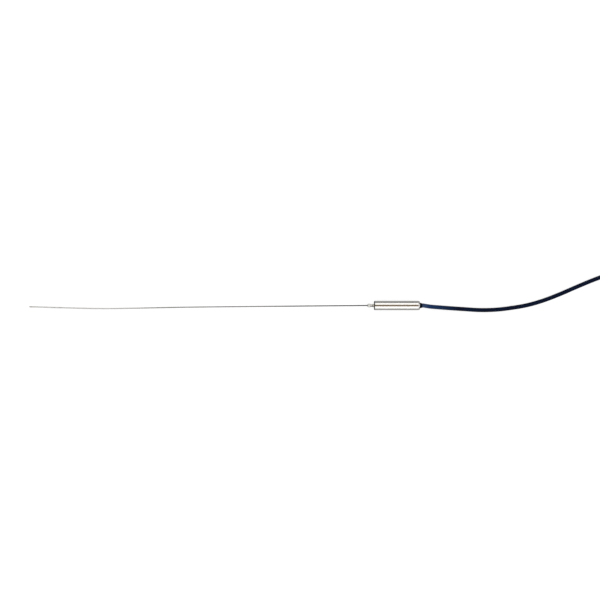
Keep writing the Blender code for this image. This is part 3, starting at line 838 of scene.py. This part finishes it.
def makeStem(s):
    line = stemLine(s)
    tip = potFront - s["length"]
    domeStart = tip + s["radius"]
    body = [place for place in line if place.x > domeStart + s["ringGap"]]
    last = body[-1]
    ahead = (line[-1] - line[-2]).normalized()
    startDome = last + ahead * ((last.x - domeStart) / -ahead.x)
    outer = [(*place, s["radius"]) for place in [*body, startDome]]
    for i in range(1, s["domeSteps"]):
        angle = math.pi / 2 * i / s["domeSteps"]
        place = startDome + ahead * s["radius"] * math.sin(angle)
        outer.append((*place, s["radius"] * math.cos(angle)))
    plug = tip + s["plug"]
    inner = [(*place, s["bore"]) for place in body if place.x > plug + s["ringGap"]]
    rings = [*inner[::-1], *outer]
    made = pullRings("stem_sheath", rings, s["sides"], False)
    return dress(made, sheathFinish, "sheath_steel", 40, "sheath")


print("stem")
makeStem(stem)


# Pieces inside the sheath and the pot keep their solids

inside = {
    "mineral_core": "packedMineral",
    "positive_wire": "positiveAlloy",
    "negative_wire": "negativeAlloy",
    "hot_junction": "negativeAlloy",
    "cold_end_seal": "sealResin",
    "splice_positive": "crimpNickel",
    "splice_negative": "crimpNickel",
    "splice_sleeve_positive": "clearSleeve",
    "splice_sleeve_negative": "clearSleeve",
    "core_positive": "redCoreInsulation",
    "core_negative": "whiteCoreInsulation",
    "strands_positive": "positiveAlloy",
    "strands_negative": "negativeAlloy",
    "potting": "pottingResin",
}
for name, finish in inside.items():
    nodes[name].data.materials.clear()
    nodes[name].data.materials.append(plain[finish])


# Studio: a white table and surround, two long soft lamps with a gap over the probe, and one past its lead

studio = {
    "lampDistance": 1.1,
    "lampRadiance": 2.1,
    "lamps": {  # compass side in degrees from +X, the angles of its two edges from straight up, length
        "backLamp": (90, 21, 65, 1.3),
        "frontLamp": (-90, 23, 80, 1.3),
        "endLamp": (0, 36, 82, 1.0),
    },
    "tableSide": 12,
    "tableGlow": 0.80,
    "glowInMetal": 0.60,  # the share of that glow that a reflection shows
    "tableColour": 0.24,
    "roomLight": 0.34,
    "reflected": [  # what polished steel sees of the room, by the height of its direction
        (0.04, (1.0, 1.0, 1.0)),
        (0.12, (0.22, 0.22, 0.22)),
        (0.60, (0.165, 0.16, 0.155)),
        (0.96, (0.365, 0.278, 0.192)),
    ],
}


def makeLamps(s):
    # Each lamp is a flat panel that faces the pot, with its two edges at the two angles
    for name, (side, near, far, length) in s["lamps"].items():
        tilt, turn = math.radians((near + far) / 2), math.radians(side)
        wide = 2 * s["lampDistance"] * math.tan(math.radians((far - near) / 2))
        away = Vector((math.sin(tilt) * math.cos(turn), math.sin(tilt) * math.sin(turn), math.cos(tilt)))
        place = Vector((potFront, 0, 0)) + away * s["lampDistance"]
        bpy.ops.object.light_add(type="AREA", location=place, rotation=(0, tilt, turn))
        lamp = bpy.context.object
        lamp.name = name
        lamp.data.shape = "RECTANGLE"
        lamp.data.size = wide
        lamp.data.size_y = length
        lamp.data.energy = s["lampRadiance"] * math.pi * length * wide
        lamp.visible_camera = False


def makeTable(s):
    startAlone()
    bpy.ops.mesh.primitive_plane_add(size=s["tableSide"], location=(0, 0, 0))
    table = bpy.context.object
    table.name = "studio_table"
    made = bpy.data.materials.new("whiteTable")
    made.use_nodes = True
    tree = made.node_tree
    shader = tree.nodes["Principled BSDF"]
    shader.inputs["Roughness"].default_value = 1
    shader.inputs["Specular IOR Level"].default_value = 0
    level = s["tableColour"]
    shader.inputs["Base Color"].default_value = (level, level, level, 1)
    shader.inputs["Emission Strength"].default_value = 1
    seen = rayIs(tree, "Camera") + rayIs(tree, "Transmission")
    seen = seen + rayIs(tree, "Glossy") * s["glowInMetal"]
    glow = seen.blend((0, 0, 0), (s["tableGlow"],) * 3)
    tree.links.new(glow.out, shader.inputs["Emission Color"])
    table.data.materials.append(made)


def makeWorld(s):
    world = bpy.data.worlds.new("studioRoom")
    bpy.context.scene.world = world
    world.use_nodes = True
    tree = world.node_tree
    background = tree.nodes["Background"]
    height = Socket(tree).node("ShaderNodeTexCoord", {}, {}, "Generated").axis("Z")
    reflected = height.node("ShaderNodeValToRGB", {"stops": s["reflected"]}, {"Fac": height})
    lit = rayIs(tree, "Glossy").blend((s["roomLight"],) * 3, reflected)
    colour = (rayIs(tree, "Camera") + rayIs(tree, "Transmission")).blend(lit, (1, 1, 1))
    tree.links.new(colour.out, background.inputs["Color"])


print("studio")
startAlone()
makeLamps(studio)
makeTable(studio)
makeWorld(studio)
bpy.context.scene.view_settings.view_transform = "Standard"

print("done")
